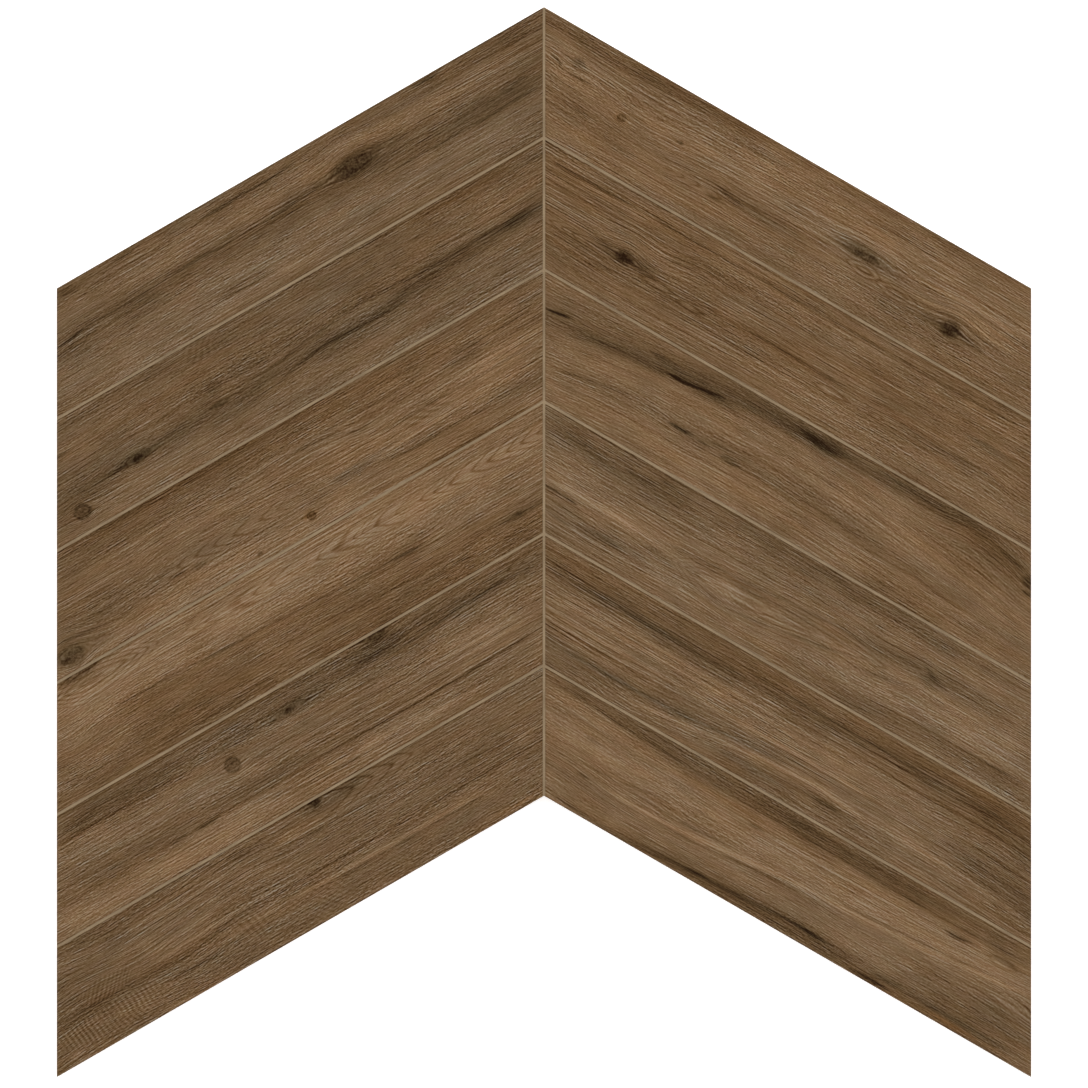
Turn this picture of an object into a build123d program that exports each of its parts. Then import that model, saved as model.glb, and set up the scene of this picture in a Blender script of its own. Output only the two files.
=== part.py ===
"""Chevron sheet of twelve wood-look porcelain tiles.

Two columns of six equal pieces meet at a straight spine, and fall away from it at the chevron angle.
Each piece is a sawn parallelogram with an arris round its face and moulded grooves in its back.
Grout fills every joint, a little below the faces, with a hollow tooled top.
A glass-fibre mesh under the pieces holds the sheet together.

The sheet lies face up. X runs across both columns, Y up the spine towards the apex, Z out of the face.
The origin is at the centre of the underside.
"""

from build123d import *
from math import cos, radians, tan
import os

# Tile pieces
TILE_LENGTH = 216.0
TILE_WIDTH = 43.0
TILE_THICKNESS = 9.0
FACE_ARRIS = 0.3
ROWS = 6
CHEVRON_ANGLE = 30.0

# Moulded back of each piece
BACK_GROOVES = 4
BACK_GROOVE_DEPTH = 0.6
BACK_RIB_WIDTH = 2.4
BACK_EDGE_WIDTH = 4.5

# Joints
JOINT_WIDTH = 1.0
GROUT_RECESS = 0.35
GROUT_HOLLOW = 0.12

# Mesh backing
MESH_THICKNESS = 0.4
MESH_EDGE_INSET = 3.0

# Lengths measured up the spine, along Y
SLOPE = tan(radians(CHEVRON_ANGLE))
RISE = 1 / cos(radians(CHEVRON_ANGLE))
ROW_PITCH = (TILE_WIDTH + JOINT_WIDTH) * RISE
SIDE_HEIGHT = ROWS * ROW_PITCH - JOINT_WIDTH * RISE

# The sheet's outline
INNER_X = JOINT_WIDTH / 2
OUTER_X = INNER_X + TILE_LENGTH * cos(radians(CHEVRON_ANGLE))
SHEET_HEIGHT = SIDE_HEIGHT + OUTER_X * SLOPE
APEX_Y = SHEET_HEIGHT / 2

# Levels above the floor
TILE_BACK_Z = MESH_THICKNESS
TILE_FACE_Z = TILE_BACK_Z + TILE_THICKNESS
GROUT_EDGE_Z = TILE_FACE_Z - GROUT_RECESS

SIDES = {"left": -1, "right": 1}


def chevron_line(x, drop):
    """The point at x on the chevron line that crosses the spine by drop, square to the rows, under the apex."""
    return (x, APEX_Y - drop * RISE - abs(x) * SLOPE)


def band(side, near_x, far_x, high, low):
    """Corners of the stretch of one column between two distances square to its rows, under the top edge."""
    return [
        chevron_line(side * near_x, high),
        chevron_line(side * far_x, high),
        chevron_line(side * far_x, low),
        chevron_line(side * near_x, low),
    ]


def row_top(row):
    """How far the top edge of a row lies under the sheet's top edge, square to the rows."""
    return row * (TILE_WIDTH + JOINT_WIDTH)


def tile_corners(side, row):
    return band(side, INNER_X, OUTER_X, row_top(row), row_top(row) + TILE_WIDTH)


def groove_corners(side, row, groove):
    """One groove of a piece's back. It runs out through both sawn ends."""
    ribs = (BACK_GROOVES - 1) * BACK_RIB_WIDTH
    width = (TILE_WIDTH - 2 * BACK_EDGE_WIDTH - ribs) / BACK_GROOVES
    high = row_top(row) + BACK_EDGE_WIDTH + groove * (width + BACK_RIB_WIDTH)
    return band(side, 0, OUTER_X + JOINT_WIDTH, high, high + width)


def sheet_corners():
    """The arrow-shaped outline of the whole sheet, from the apex clockwise."""
    bottom = SIDE_HEIGHT / RISE
    return [
        chevron_line(0, 0),
        chevron_line(OUTER_X, 0),
        chevron_line(OUTER_X, bottom),
        chevron_line(0, bottom),
        chevron_line(-OUTER_X, bottom),
        chevron_line(-OUTER_X, 0),
    ]


def make_tile(side_name, row):
    side = SIDES[side_name]
    with BuildPart() as tile:
        with BuildSketch(Plane.XY.offset(TILE_BACK_Z)):
            Polygon(*tile_corners(side, row), align=None)
        extrude(amount=TILE_THICKNESS)
        chamfer(tile.faces().sort_by(Axis.Z)[-1].edges(), FACE_ARRIS)
        for groove in range(BACK_GROOVES):
            with BuildSketch(Plane.XY.offset(TILE_BACK_Z)):
                Polygon(*groove_corners(side, row, groove), align=None)
            extrude(amount=BACK_GROOVE_DEPTH, mode=Mode.SUBTRACT)
    tile.part.label = f"tile_{side_name}_{row + 1}"
    return tile.part


def joint_lines():
    """The middle of every joint, as its upper end on the spine and the direction it runs in."""
    lines = [((0, APEX_Y), (0, -1))]
    for side in SIDES.values():
        for row in range(1, ROWS):
            middle = row_top(row) - JOINT_WIDTH / 2
            lines.append((chevron_line(0, middle), (side, -SLOPE)))
    return lines


def make_grout():
    half = JOINT_WIDTH / 2
    hollow_radius = (half**2 + GROUT_HOLLOW**2) / (2 * GROUT_HOLLOW)
    hollow_z = GROUT_EDGE_Z - GROUT_HOLLOW + hollow_radius
    with BuildPart() as grout:
        with BuildSketch(Plane.XY.offset(TILE_BACK_Z)):
            Polygon(*sheet_corners(), align=None)
            for side in SIDES.values():
                for row in range(ROWS):
                    Polygon(*tile_corners(side, row), align=None, mode=Mode.SUBTRACT)
        extrude(amount=TILE_THICKNESS - GROUT_RECESS)
        for (x, y), (run_x, run_y) in joint_lines():
            with BuildSketch(Plane((x, y, hollow_z), z_dir=(run_x, run_y, 0))):
                Circle(hollow_radius)
            extrude(amount=SHEET_HEIGHT, mode=Mode.SUBTRACT)
    grout.part.label = "grout"
    return grout.part


def make_mesh_backing():
    with BuildPart() as mesh_backing:
        with BuildSketch():
            Polygon(*sheet_corners(), align=None)
            offset(amount=-MESH_EDGE_INSET, kind=Kind.INTERSECTION)
        extrude(amount=MESH_THICKNESS)
    mesh_backing.part.label = "mesh_backing"
    return mesh_backing.part


pieces = [make_tile(side_name, row) for side_name in SIDES for row in range(ROWS)]
pieces += [make_grout(), make_mesh_backing()]

os.makedirs("parts", exist_ok=True)
for piece in pieces:
    export_step(piece, f"parts/{piece.label}.step")
    print(f"{piece.label}: {piece.volume / 1000:.2f} cm3")
print(f"sheet: {2 * OUTER_X:.2f} x {SHEET_HEIGHT:.2f} x {TILE_FACE_Z:.2f} mm, {SIDE_HEIGHT:.2f} mm at each side")
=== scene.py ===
"""Chevron sheet of wood-look porcelain pieces, lying face up on a pale floor.

Each piece gets a face with the pressed and printed wood figure, sawn edges and a grooved back.
The figure is worked out at every point of the face from short lists of named marks.
Places on a piece are in millimetres: u runs along the grain from the inner top corner, v square to it.
"""

from collections import namedtuple
from math import cos, radians, sin, tan

import bpy
import numpy as np
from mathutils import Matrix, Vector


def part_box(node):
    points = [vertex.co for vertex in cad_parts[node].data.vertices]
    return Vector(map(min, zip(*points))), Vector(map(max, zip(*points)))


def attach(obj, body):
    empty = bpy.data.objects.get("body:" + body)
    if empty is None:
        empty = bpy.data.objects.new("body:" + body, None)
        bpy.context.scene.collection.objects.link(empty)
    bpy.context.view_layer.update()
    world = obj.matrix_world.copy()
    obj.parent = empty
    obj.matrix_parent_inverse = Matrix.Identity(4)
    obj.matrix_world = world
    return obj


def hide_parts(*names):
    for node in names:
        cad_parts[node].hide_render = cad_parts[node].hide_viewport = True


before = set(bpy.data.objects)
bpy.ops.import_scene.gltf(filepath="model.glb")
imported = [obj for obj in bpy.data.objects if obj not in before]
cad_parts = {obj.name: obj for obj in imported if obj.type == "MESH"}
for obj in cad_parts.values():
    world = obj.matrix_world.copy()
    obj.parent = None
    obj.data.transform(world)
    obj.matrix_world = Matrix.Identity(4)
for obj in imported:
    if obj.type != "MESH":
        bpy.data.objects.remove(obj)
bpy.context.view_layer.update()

MM = 0.001

# The sheet, read from the frame, in millimetres
ANGLE = radians(30)
SLANT = tan(ANGLE)
RISE = 1 / cos(ANGLE)
first_low, first_high = (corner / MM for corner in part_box("tile_right_1"))
INNER_X = first_low.x
OUTER_X = first_high.x
BACK_Z = first_low.z
FACE_Z = first_high.z
LENGTH = (OUTER_X - INNER_X) / cos(ANGLE)
WIDTH = (first_high.y - first_low.y - LENGTH * sin(ANGLE)) / RISE
SHEET_TOP_Y = first_high.y + INNER_X * SLANT
SHEET_LOW_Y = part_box("tile_right_6")[0].y / MM

# Form of each piece
ARRIS = 0.3
ARRIS_ROUND = 0.4
BACK_GROOVES = 4
BACK_GROOVE_DEPTH = 0.6
BACK_RIB_WIDTH = 2.4
BACK_EDGE_WIDTH = 4.5
RELIEF_FADE = 0.8
DEEPEST_RELIEF = 0.3

# Points of each face, which lie closer round knots
ROWS_ACROSS = 148
COLUMNS_ALONG = 215
CROWDING = 2.5
CROWD_REACH = 1.4
DENSITY_SAMPLES = 2001

# Net under the pieces. The yarn's section is in half widths and thicknesses.
NET_INSET = 3.0
NET_PITCH = 5.0
YARN_WIDTH = 1.1
YARN_THICKNESS = 0.2
YARN_SECTION = [(-1, 0), (-0.6, 0.5), (0.6, 0.5), (1, 0), (0.6, -0.5), (-0.6, -0.5)]

# Floor, and camera: the photograph is 1088 pixels across, and the sheet is 974.4 of them
FLOOR_REACH = 3.0
WHITE = (1, 1, 1, 1)
PHOTO_PIXELS = 1088
SHEET_PIXELS = 974.4
VIEW_CENTRE_Y = -0.73
CAMERA_HEIGHT = 10.0
SENSOR = 36.0

# Marks of the figure. A path is u, v, u, v and so on, and dark is in steps of lightness out of 255.
# Below zero it lightens. Nests, eyes and ripples are even lines: flames, rings, and waves across the grain.
Band = namedtuple("Band", "dark warm half_width path")
Line = namedtuple("Line", "dark warm half_width path")
Patch = namedtuple("Patch", "dark warm u v half_length half_width")
Knot = namedtuple("Knot", "dark u v half_length half_width")
Ring = namedtuple("Ring", "dark u v radius")
Flame = namedtuple("Flame", "dark tip v half_height reach")
Nest = namedtuple("Nest", "dark start end v half_height reach pitch")
Eye = namedtuple("Eye", "dark u v back ahead half_width rings lean", defaults=[0])
Ripple = namedtuple("Ripple", "dark u v half_length half_width pitch lean")

# The figure of each piece: lightness, warmth, strength of its fine lines, and how far these run long
Piece = namedtuple("Piece", "shade warm rough lay marks")
PIECES = {}
PIECES["left_1"] = Piece(88.5, -0.05, 1, 0.1, [
    Band(3, 0.5, 2, [0, 1.5, 40, 2, 110, 2.5, 216, 2]), Band(-8, 0, 3, [112, 39.3, 215, 39.3]),
    Band(6, 0.4, 3.2, [2, 4.5, 30, 4.5, 60, 4]), Band(-6, 0.5, 4, [12, 9.5, 60, 9, 130, 10, 225, 12]),
    Band(9, -0.4, 4, [12, 21, 80, 20.5, 150, 20, 236, 22.5]), Band(4, -0.8, 4, [12, 24, 30, 24, 62, 24]),
    Band(-8, -0.8, 6.5, [18, 33, 120, 32.5, 240, 34]), Line(8, 0.6, 0.9, [8, 5.2, 15, 5.5, 22, 5.8]),
    Line(18, -1, 0.6, [45, 1.2, 52, 1.7, 61, 1.3]), Line(13, 0, 0.5, [108, 4, 128, 4.3, 145, 4.6, 160, 5]),
    Line(10, 0, 0.6, [128, 3.8, 145, 4.2, 158, 4.6]), Line(12, 0, 0.5, [182, 2, 187, 2.1, 193, 2]),
    Patch(6, -0.6, 25, 20, 6, 1.6), Line(9, 0, 0.6, [14, 25.2, 50, 25.7, 86, 25.4]),
    Knot(30, 93, 15.4, 10.5, 4.6), Patch(0, 0.8, 107, 12, 8, 4), Knot(6, 97, 17.8, 5, 1.6),
    Patch(7, -0.3, 93, 16.5, 22, 7), Line(-6, 0, 0.5, [84, 21.2, 93, 22.3, 104, 21]),
    Line(-5, 0, 0.5, [80, 9.5, 93, 6.5, 106, 9]), Line(5, 0, 0.6, [76, 12.5, 92, 9.2, 110, 12]),
    Line(7, 0, 0.5, [110, 17.2, 150, 17.8, 180, 17.5, 195, 18.5, 215, 18.5, 228, 20.5]),
    Line(3, -0.4, 0.8, [114, 16.6, 125, 17.2, 137, 17.4]),
    Line(3, -0.4, 0.8, [152, 17.6, 166, 17.4, 176, 18]),
    Line(12, -0.4, 0.7, [214, 18.6, 221, 19.4, 229, 20.4]), Patch(14, 0.4, 213, 3, 5, 2.2),
    Patch(3, -0.4, 24, 21, 7, 3.4), Line(-5, -0.4, 0.45, [60, 33.5, 100, 33, 140, 33.4]),
    Line(-5, -0.4, 0.45, [90, 37, 130, 37.3, 170, 37]),
    Line(-5, -0.4, 0.4, [30, 39.5, 70, 39.3, 120, 39.6]), Flame(9, 163, 34.8, 1.6, -13),
    Patch(5, 0, 160, 33, 8, 4),
])
PIECES["left_2"] = Piece(85.1, -0.35, 1.02, 0, [
    Band(4, 0.5, 3.5, [3, 2, 120, 2.5, 215, 2.5]), Band(-9, 0, 1.8, [0, 41.8, 240, 41.8]),
    Band(-4, 1.2, 4, [5, 14, 40, 15, 75, 14]), Band(-5, 1, 6, [140, 12, 170, 12, 226, 14]),
    Band(8, -0.5, 2.6, [8, 21.5, 30, 22.6, 60, 23.8, 90, 24.5]),
    Band(8, -0.5, 3.2, [60, 25.6, 105, 26.6, 150, 27, 200, 28, 236, 29]),
    Band(-7, 0, 4.5, [22, 34, 120, 34.5, 216, 36]), Line(7, 1, 0.6, [8, 2.4, 40, 2.6, 66, 2.4]),
    Patch(10, -0.5, 55, 8.3, 9, 1.2), Patch(0, 0.9, 40, 9, 38, 8), Patch(-5, -0.8, 105, 11, 14, 2.2),
    Ripple(15, 156, 4, 9, 5, 3.2, -0.8), Line(8, -0.3, 1.1, [12, 21, 22, 21.6, 36, 22.6]),
    Patch(3, 1, 47, 23.5, 6, 1.5), Patch(3, 1, 67, 24, 8, 1.6),
    Line(9, 0, 0.6, [12, 20, 60, 21, 95, 19.5, 124, 22.5, 140, 24]),
    Line(12, 0, 0.5, [75, 27, 90, 27.3, 110, 26.5, 130, 28.4]),
    Line(6, 0, 0.5, [118, 27.6, 135, 30, 150, 31.8, 195, 32.4]), Patch(4, -1, 22, 22, 13, 1.6),
    Patch(-8, -0.5, 92, 23.4, 14, 2.6), Patch(8, -0.4, 157, 19.5, 3, 4), Patch(-6, 0.4, 153, 22, 5, 3),
    Knot(18, 158, 25.8, 4.2, 1.2), Line(7, 0, 0.6, [170, 25.5, 182, 26.6, 190, 27]),
    Knot(14, 196.5, 28, 6, 2.4), Knot(30, 196.5, 28, 2.4, 1.4), Patch(6, -0.8, 197, 28, 10, 2.2),
    Patch(18, -1, 203, 28.3, 1.4, 0.6), Line(8, 0, 0.5, [199, 28.3, 208, 28.6, 217, 29]),
    Ring(30, 225, 35.6, 2.9), Patch(10, -0.4, 221, 12.5, 4, 0.9),
])
PIECES["left_3"] = Piece(92.4, 0.6, 1.05, 0.2, [
    Band(8, 0.3, 3.6, [0, 1.5, 80, 1.5, 215, 1.5]), Band(-9, 0, 2.4, [0, 41.4, 240, 41.6]),
    Band(5, 0.2, 3, [60, 6, 140, 7, 219, 8]), Band(-5, 0.5, 7, [14, 22, 100, 22, 180, 18]),
    Band(-7, 0.6, 5, [70, 39, 150, 37, 226, 40]), Band(5, -0.4, 3.5, [160, 27, 190, 28, 236, 29]),
    Line(7, 0.4, 0.9, [80, 1.4, 140, 1.5, 205, 1.5]), Line(8, 0, 0.5, [9, 10.5, 30, 10.6, 52, 10.4]),
    Line(8, 0, 0.5, [58, 11.2, 85, 11.5, 112, 11.2]), Patch(8, -0.6, 42, 12, 8, 4),
    Patch(0, 0.9, 72, 7, 45, 6.5), Line(-6, 0.3, 0.5, [15, 18, 32, 18.4, 50, 18]),
    Line(-6, 0.3, 0.5, [15, 20.6, 32, 21, 52, 20.6]), Line(-5, 0.3, 0.5, [18, 23.4, 32, 23.6, 50, 23.6]),
    Line(7, 0, 0.55, [14, 22.2, 50, 22.6, 90, 22.3]), Ripple(20, 67, 24.5, 13, 3.6, 6.5, 1.9),
    Line(8, 0, 0.6, [85, 20, 95, 16.5, 105, 13.5, 124, 12.5]),
    Line(-7, 0.3, 0.8, [20, 29, 60, 28.8, 94, 30]), Line(8, 0, 0.6, [20, 34, 60, 34, 85, 33, 95, 31]),
    Patch(9, -1.2, 101.5, 30, 9, 1.8), Line(11, 0.4, 0.7, [25, 42, 55, 42.2, 78, 41.9, 110, 40]),
    Ring(40, 124, 36.8, 1.5), Patch(4, 2, 124, 36.8, 3, 2.4), Knot(30, 148.5, 39.7, 1.3, 0.9),
    Nest(22, 132, 186, 28.4, 3.2, -11, 9), Patch(16, -0.8, 171, 32, 3.4, 1.2),
    Line(12, -0.4, 0.5, [176, 30.5, 180, 30.6, 185, 30.5]), Knot(19, 231, 37.5, 7, 3.6),
    Ring(9, 231, 37.5, 4.4), Patch(6, -0.8, 226, 37, 14, 5),
    Line(8, 0, 0.6, [205, 35, 218, 32.6, 231, 31.5, 240, 32]),
    Line(-6, 0, 0.5, [208, 33.4, 220, 30.9, 231, 29.8, 240, 30.4]),
])
PIECES["left_4"] = Piece(95.2, 0.9, 1.02, 0, [
    Band(-11, 0.2, 8, [5, 10, 120, 10, 225, 13]), Band(-9, 0, 1.6, [0, 1, 225, 1]),
    Band(6, 0.6, 3.5, [55, 23.5, 120, 23, 205, 21.5]), Band(11, 0.9, 4.5, [18, 34, 120, 32, 200, 33]),
    Band(14, 0.5, 4, [20, 41.5, 120, 41, 240, 41]), Nest(28, 6, 62, 9, 4.2, -14, 7.5),
    Nest(26, 70, 112, 8.6, 4.4, -12, 6.5), Nest(22, 118, 166, 8, 4, -15, 8.5),
    Eye(26, 205, 5.2, 28, 18, 6, 4), Knot(30, 208, 0.4, 10, 2.6),
    Line(9, 0, 0.55, [60, 24, 110, 22.3, 150, 20.5, 190, 19, 208, 19.5]), Patch(10, -0.6, 75, 24, 6, 1),
    Patch(9, -0.6, 155, 20.5, 6, 1), Patch(14, 0, 66, 20, 2.6, 0.5), Patch(3, 0.8, 187, 22.5, 9, 2),
    Patch(3, 0.8, 169, 26, 5, 1.6), Knot(18, 29, 32.3, 1.6, 1), Patch(10, -1, 27, 32.4, 9, 2.2),
    Patch(12, 0, 57, 36.5, 3.5, 0.6), Patch(12, 0, 70, 36.5, 3.5, 0.6), Patch(12, 0, 92, 38.5, 4, 0.6),
])
PIECES["left_5"] = Piece(90.5, 0.65, 1.12, 0, [
    Band(12, -0.8, 4.5, [0, 4, 60, 5, 140, 4, 216, 4]), Band(-14, 0, 1.2, [55, 38.5, 105, 38.5]),
    Band(5, -0.8, 3, [2, 8.5, 40, 8, 90, 9, 150, 9.5, 220, 9]),
    Band(-4, -0.6, 5, [12, 22, 60, 22, 130, 20, 228, 19]), Band(6, -1, 3, [130, 29, 190, 28.5, 236, 28]),
    Band(-6, 0.5, 4, [60, 36, 100, 36, 150, 37.5]), Band(-12, 0.9, 4.5, [145, 38, 200, 38.5, 240, 38]),
    Knot(34, 75, 0.4, 6.5, 3.2), Nest(20, 4, 24, 5, 2.6, -8, 6),
    Line(9, -0.4, 0.5, [7, 8.5, 20, 7.6, 30, 7.5, 40, 8, 60, 9.5, 76, 10.5]),
    Patch(11, -0.4, 80, 7.3, 5, 1.1), Knot(8, 118.5, 9.3, 8, 2.4), Knot(30, 118.5, 9.3, 2.6, 1.5),
    Patch(6, -0.8, 117.5, 9.3, 12, 3), Patch(18, -0.6, 125.5, 9.5, 1.3, 0.6), Ring(38, 147.5, 16.6, 2.7),
    Line(8, 0.8, 0.9, [155, 5.6, 180, 5.4, 220, 5.6]), Line(8, 0.8, 0.9, [160, 9.6, 190, 9.4, 222, 9.6]),
    Line(-5, 0.2, 0.5, [17, 19.4, 40, 19.8, 60, 19.4]), Line(-5, 0.2, 0.5, [17, 22.2, 40, 22.5, 62, 22.2]),
    Line(-5, 0.2, 0.5, [17, 25.2, 40, 25.2, 60, 25.5]), Line(-5, 0.2, 0.5, [19, 28.2, 40, 28.4, 62, 28.6]),
    Line(9, 0, 0.65, [17, 30.3, 72, 31.7, 124, 31.3]), Line(-6, 0.2, 0.9, [68, 36.4, 95, 36.5, 124, 36.4]),
    Line(8, 0, 0.6, [70, 38, 97, 38.1, 124, 38]), Line(11, -0.3, 0.6, [160, 31.5, 167, 31.6, 174, 31.5]),
    Patch(12, -0.3, 180, 31.3, 4, 0.6), Patch(12, -0.3, 205, 28, 4, 0.6), Patch(9, -0.6, 136, 35.5, 5, 1.2),
    Patch(7, -0.4, 75, 5, 10, 4), Ripple(15, 38, 22.5, 26, 7, 60, 40), Ripple(14, 192, 37, 46, 5.5, 60, 42),
])
PIECES["left_6"] = Piece(88.6, 0.25, 1.15, -0.1, [
    Band(-4, 0, 3, [5, 3, 20, 3, 40, 3]), Band(-4, -0.6, 6, [135, 10, 170, 12, 205, 14]),
    Band(5, 0.4, 5, [200, 26, 220, 28, 238, 32]), Band(5, 0.6, 2.5, [150, 25, 200, 26.5, 234, 27]),
    Band(-3, 0.4, 3, [30, 30, 60, 30, 140, 30]), Nest(24, 56, 96, 3.4, 5, 15, 9),
    Patch(12, -0.8, 95, 2.5, 14, 3.4), Knot(38, 102, 1.2, 2.8, 1.8), Patch(-9, 0.6, 113, 7.5, 10, 2),
    Patch(10, 0.2, 107.5, 11, 4, 1.2), Patch(9, -0.4, 134, 3.5, 8, 1.8),
    Line(7, 0.4, 1.5, [10, 15.8, 40, 16, 72, 16]), Line(-6, 0, 0.5, [11, 18.6, 18, 18.8, 27, 18.6]),
    Line(-6, 0, 0.5, [11, 21, 18, 21.2, 27, 21]),
    Line(6, 0, 0.5, [15, 24.5, 124, 24.7, 155, 24.5, 172, 27.5, 190, 26.8, 230, 26]),
    Line(-7, 0.2, 1.1, [40, 29.8, 110, 29.6, 150, 29.8]),
    Line(9, 0, 0.6, [40, 31.2, 100, 31, 140, 30, 165, 33, 190, 32]), Ripple(9, 70, 35, 48, 6, 2.2, 1.2),
    Ripple(15, 116, 34, 22, 9, 2.8, 0.9), Ripple(16, 146, 26, 9, 11, 2.6, 0.3),
    Ripple(30, 210, 34, 30, 6.4, 2, 0.1), Ripple(18, 167, 19, 28, 6, 15, -11),
    Ripple(26, 206, 22.5, 13, 5, 1.9, -0.9), Line(-7, 0, 0.5, [148, 14, 170, 15.4, 192, 17]),
    Line(-7, 0, 0.5, [148, 18, 170, 19.4, 192, 21]), Line(-6, 0, 0.5, [150, 21.6, 170, 23, 190, 24.6]),
    Line(-4, 1.2, 0.7, [25, 40.5, 35, 40.6, 46, 40.5]), Line(-9, 0, 0.5, [226, 39.5, 229, 39.6, 233, 39.5]),
])
PIECES["right_1"] = Piece(94.1, 0.95, 1, 0.1, [
    Band(15, 0.2, 2.6, [0, 3, 50, 2.8, 90, 2]), Band(0, -0.7, 4.5, [70, 19, 130, 20, 190, 20]),
    Band(7, 0.8, 1.6, [80, 1.8, 150, 1.8, 216, 1.8]), Band(-6, 0.4, 6, [8, 15, 60, 19, 120, 15, 230, 16]),
    Band(9, -0.8, 2.6, [82, 27, 105, 27.5, 135, 28]), Band(5, 0.8, 3, [15, 28, 30, 29, 50, 30]),
    Band(6, -0.4, 6, [150, 36, 200, 36, 240, 36]), Band(4, -0.3, 3, [24, 42, 90, 41.5, 160, 41]),
    Patch(16, -1.2, 22, 12, 2.6, 2.2), Line(20, 0, 0.4, [9.5, 14, 14, 15.2, 18.5, 17.6]),
    Line(11, 0, 0.45, [18, 17.6, 24, 17.2, 33, 16.8]), Ring(38, 46.7, 22, 1.5),
    Patch(4, 2, 46.7, 22, 3, 2.4), Knot(32, 71, 19, 1.4, 0.8), Line(7, 0, 0.55, [19, 27, 27, 27.5, 36, 28]),
    Nest(20, 74, 98, 30, 2.1, -8, 8), Line(10, -0.2, 0.8, [91, 26.2, 97, 27.2, 105, 28.4]),
    Patch(-6, 0.2, 106.5, 30.5, 7, 1.5), Line(9, 0, 0.6, [87, 31, 92, 31.1, 98, 31]),
    Knot(17, 154, 21, 7.5, 3.4), Patch(8, -1.4, 154, 21, 13, 4.4), Patch(10, -0.4, 152, 21.4, 2.2, 0.9),
    Patch(10, -0.4, 157, 20.5, 2.2, 0.9), Eye(30, 157, 26, 8, 7, 2.3, 1.8),
    Eye(26, 172, 27.6, 9, 9, 2.2, 1.8), Knot(42, 197, 29.3, 4.4, 3.2), Patch(9, -0.3, 198, 29.5, 12, 3.6),
    Line(4, 0, 0.5, [200, 29.6, 207, 30.4, 216, 31.4]),
    Line(-8, 0.3, 0.5, [172, 22.4, 185, 21.6, 197, 19.8, 208, 21, 226, 23]),
    Line(-7, 0.3, 0.5, [172, 25, 185, 24.4, 197, 22.6, 208, 24, 226, 26]),
    Line(7, 0, 0.5, [176, 27.6, 187, 26, 197, 24.8, 208, 26.4, 222, 28.4]),
    Line(-7, 0.3, 0.5, [174, 18.8, 190, 18, 205, 17.4, 226, 19]), Patch(4, 0.6, 157, 8, 10, 4),
])
PIECES["right_2"] = Piece(89.6, 0.95, 1.02, 0.2, [
    Band(-3, 0.4, 4, [0, 4, 60, 5, 216, 5]), Band(5, 0.2, 4, [10, 12, 60, 11, 120, 10]),
    Band(4, -0.2, 5, [14, 27, 50, 28, 95, 28]), Band(-7, 0, 5, [40, 38, 120, 36, 190, 36, 238, 38]),
    Band(4, 0.8, 1.6, [80, 24.5, 120, 25, 160, 25.5]),
    Line(12, 0, 0.6, [4, 6.2, 40, 5.2, 90, 5, 140, 5, 190, 5, 217, 3.8]), Knot(44, 49, 23.8, 4, 2.7),
    Patch(9, -0.2, 48, 23.8, 13, 3.4), Line(8, 0, 0.6, [34, 23, 40, 23.4, 46, 23.9]),
    Line(12, 0, 0.6, [52, 24.4, 57, 25, 66, 25.4]), Line(-7, 0, 0.5, [38, 22.6, 49, 20.4, 60, 22.8]),
    Nest(22, 14, 34, 26, 2.3, 8, 7), Eye(30, 64, 26.8, 7, 9, 1.3, 1), Eye(30, 80, 28, 6, 7, 1.3, 1),
    Line(12, 0, 0.6, [98, 24, 124, 24.8, 151, 24.8]), Line(7, 0, 0.45, [60, 17, 70, 15, 80, 12.6]),
    Line(7, 0, 0.45, [62, 14.6, 70, 13.2, 78, 11]), Patch(-4, 0, 143.5, 29, 8, 1.2),
    Eye(34, 143, 29.2, 7, 9, 1.4, 1), Eye(30, 163.5, 28.6, 3.5, 3.5, 1.1, 1),
    Line(8, 0, 0.6, [165, 26.5, 195, 27, 215, 27, 228, 29.5]), Patch(7, -1.4, 207.5, 17.5, 9, 1.6),
    Patch(9, -0.4, 42, 31.5, 5, 1.1),
])
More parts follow.
